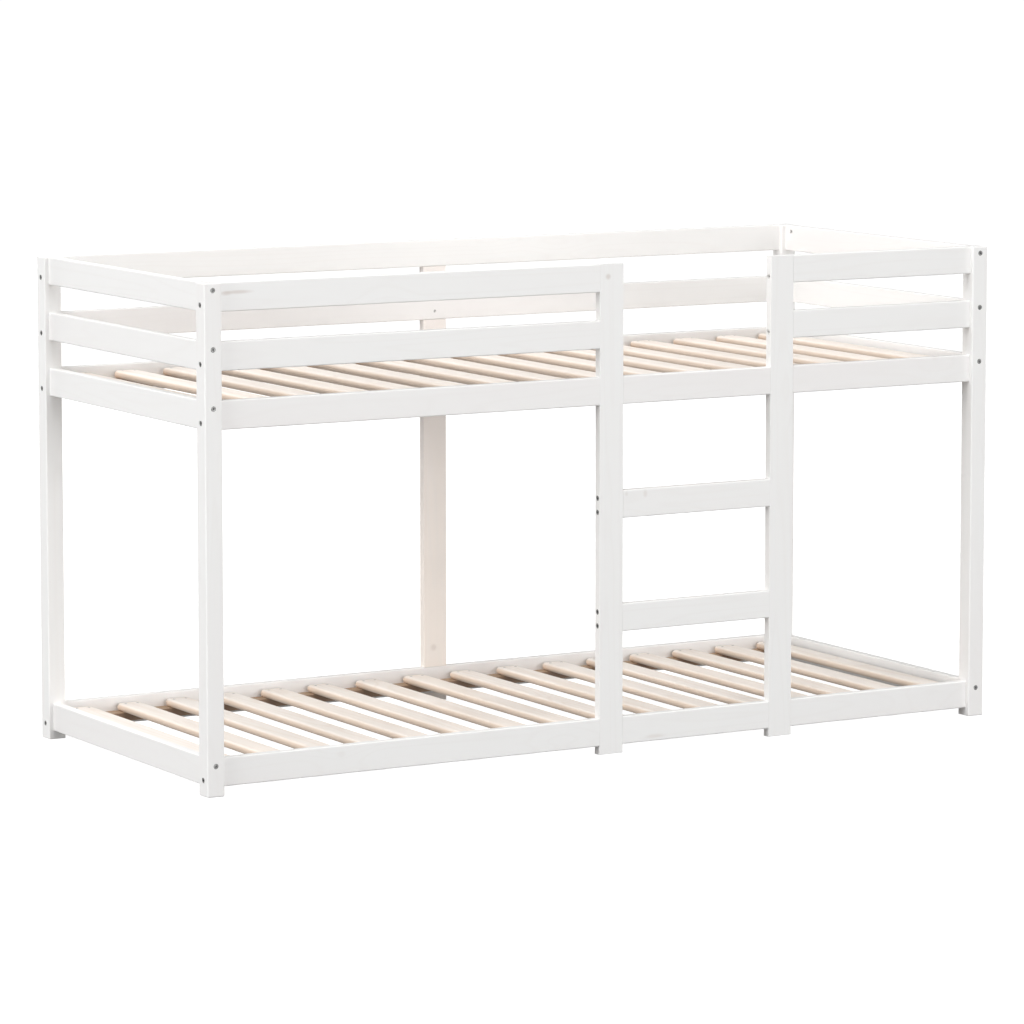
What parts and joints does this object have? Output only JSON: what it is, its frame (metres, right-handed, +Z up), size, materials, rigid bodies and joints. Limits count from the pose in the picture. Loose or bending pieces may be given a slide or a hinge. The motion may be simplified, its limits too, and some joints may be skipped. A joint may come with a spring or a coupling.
{
  "type": "bunk bed with ladder",
  "caption": "Low wooden bunk bed with a built-in front ladder, guard rails all round the upper bed and slatted bases on screwed ledgers.",
  "frame": {"origin": "on the floor, at the middle of the footprint over the corner posts", "axes": "+X along the bed towards the end nearer the ladder opening, +Y from the ladder side to the back, +Z up"},
  "size_m": [2.06, 0.86, 1.12],
  "materials": {
    "white_wood": "smooth white-washed pine, satin lacquer",
    "ledger_wood": "planed bare pine",
    "slat_wood": "planed bare pine, pale, with rounded edges",
    "dowel_wood": "bare hardwood dowel",
    "bolt_steel": "dark plated steel with a hex socket",
    "nut_steel": "dark plated steel barrel nut",
    "screw_steel": "zinc-plated countersunk wood screw"
  },
  "bodies": {
    "root": {"post_front_left": "white_wood", "post_front_right": "white_wood", "post_back_left": "white_wood", "post_back_right": "white_wood", "ladder_stile_left": "white_wood", "ladder_stile_right": "white_wood", "back_center_board": "white_wood", "ladder_rung_lower": "white_wood", "ladder_rung_upper": "white_wood", "front_lower_rail": "white_wood", "front_upper_rail": "white_wood", "front_mid_guard_left": "white_wood", "front_mid_guard_right": "white_wood", "front_top_guard_left": "white_wood", "front_top_guard_right": "white_wood", "back_lower_rail": "white_wood", "back_upper_rail": "white_wood", "back_mid_guard": "white_wood", "back_top_guard": "white_wood", "left_lower_rail": "white_wood", "left_upper_rail": "white_wood", "left_mid_guard": "white_wood", "left_top_guard": "white_wood", "right_lower_rail": "white_wood", "right_upper_rail": "white_wood", "right_mid_guard": "white_wood", "right_top_guard": "white_wood", "ledger_lower_front": "ledger_wood", "ledger_lower_back": "ledger_wood", "ledger_upper_front": "ledger_wood", "ledger_upper_back": "ledger_wood", "lower_slats_1": "slat_wood", "lower_slats_2": "slat_wood", "lower_slats_3": "slat_wood", "lower_slats_4": "slat_wood", "lower_slats_5": "slat_wood", "lower_slats_6": "slat_wood", "lower_slats_7": "slat_wood", "lower_slats_8": "slat_wood", "upper_slats_1": "slat_wood", "upper_slats_2": "slat_wood", "upper_slats_3": "slat_wood", "upper_slats_4": "slat_wood", "upper_slats_5": "slat_wood", "upper_slats_6": "slat_wood", "upper_slats_7": "slat_wood", "upper_slats_8": "slat_wood", "long_rail_bolts": "bolt_steel", "end_rail_bolts": "bolt_steel", "guard_bolts": "bolt_steel", "rung_bolts": "bolt_steel", "barrel_nuts": "nut_steel", "wooden_dowels": "dowel_wood", "slat_screws": "screw_steel", "ledger_screws": "screw_steel", "crossing_screws": "screw_steel"}
  },
  "joints": []
}
